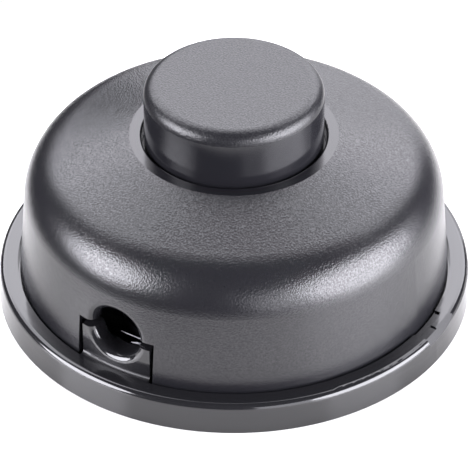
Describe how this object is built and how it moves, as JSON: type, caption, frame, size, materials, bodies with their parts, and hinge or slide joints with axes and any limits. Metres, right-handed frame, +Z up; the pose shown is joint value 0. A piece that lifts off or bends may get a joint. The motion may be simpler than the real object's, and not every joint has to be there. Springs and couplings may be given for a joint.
{
  "type": "foot switch",
  "caption": "Round in-line foot switch: glossy base with a flat rim, grained clip-fit cover, sprung push button that turns a contact rotor, and split cord entries with clamps.",
  "frame": {"origin": "centre of the underside", "axes": "+Z up along the button's axis, cord entries on -Y and +Y, pry notches on +X and -X"},
  "size_m": [0.066, 0.066, 0.0336],
  "materials": {
    "cover_plastic": "fine spark-eroded grain",
    "button_plastic": "fine grain on top, smooth side",
    "base_plastic": "smooth, glossy",
    "mechanism_plastic": "natural polyamide, satin",
    "spring_steel": "drawn wire",
    "screw_steel": "zinc plated",
    "strip_brass": "punched sheet",
    "contact_silver": "silver contact alloy"
  },
  "bodies": {
    "housing": {"base": "base_plastic", "cover": "cover_plastic", "return_spring": "spring_steel", "retainer_plate": "mechanism_plastic", "retainer_screws": "screw_steel", "line_contact_in": "strip_brass", "line_contact_out": "strip_brass", "contact_rivets": "contact_silver", "neutral_link": "strip_brass", "earth_link": "strip_brass", "terminal_washers": "screw_steel", "terminal_screws": "screw_steel", "cord_clamp_front": "base_plastic", "cord_clamp_rear": "base_plastic", "clamp_screws": "screw_steel"},
    "button": {"push_button": "button_plastic", "plunger": "mechanism_plastic"},
    "rotor": {"rotor": "mechanism_plastic", "contact_bridge": "strip_brass", "bridge_rivets": "contact_silver"}
  },
  "joints": [
    {"name": "button_press", "type": "slide", "parent": "housing", "child": "button", "axis": [0, 0, -1], "range_m": [0, 0.004], "stiffness_N_per_m": 1500, "springref_m": -0.004, "deforming": ["return_spring"]},
    {"name": "rotor_turn", "type": "hinge", "parent": "housing", "child": "rotor", "pos_m": [0, 0, 0.0095], "axis": [0, 0, 1], "range_deg": [0, 45]}
  ],
  "couplings": [
    {"joint": "rotor_turn", "follows": "button_press", "rad_per_m": 196.35}
  ]
}
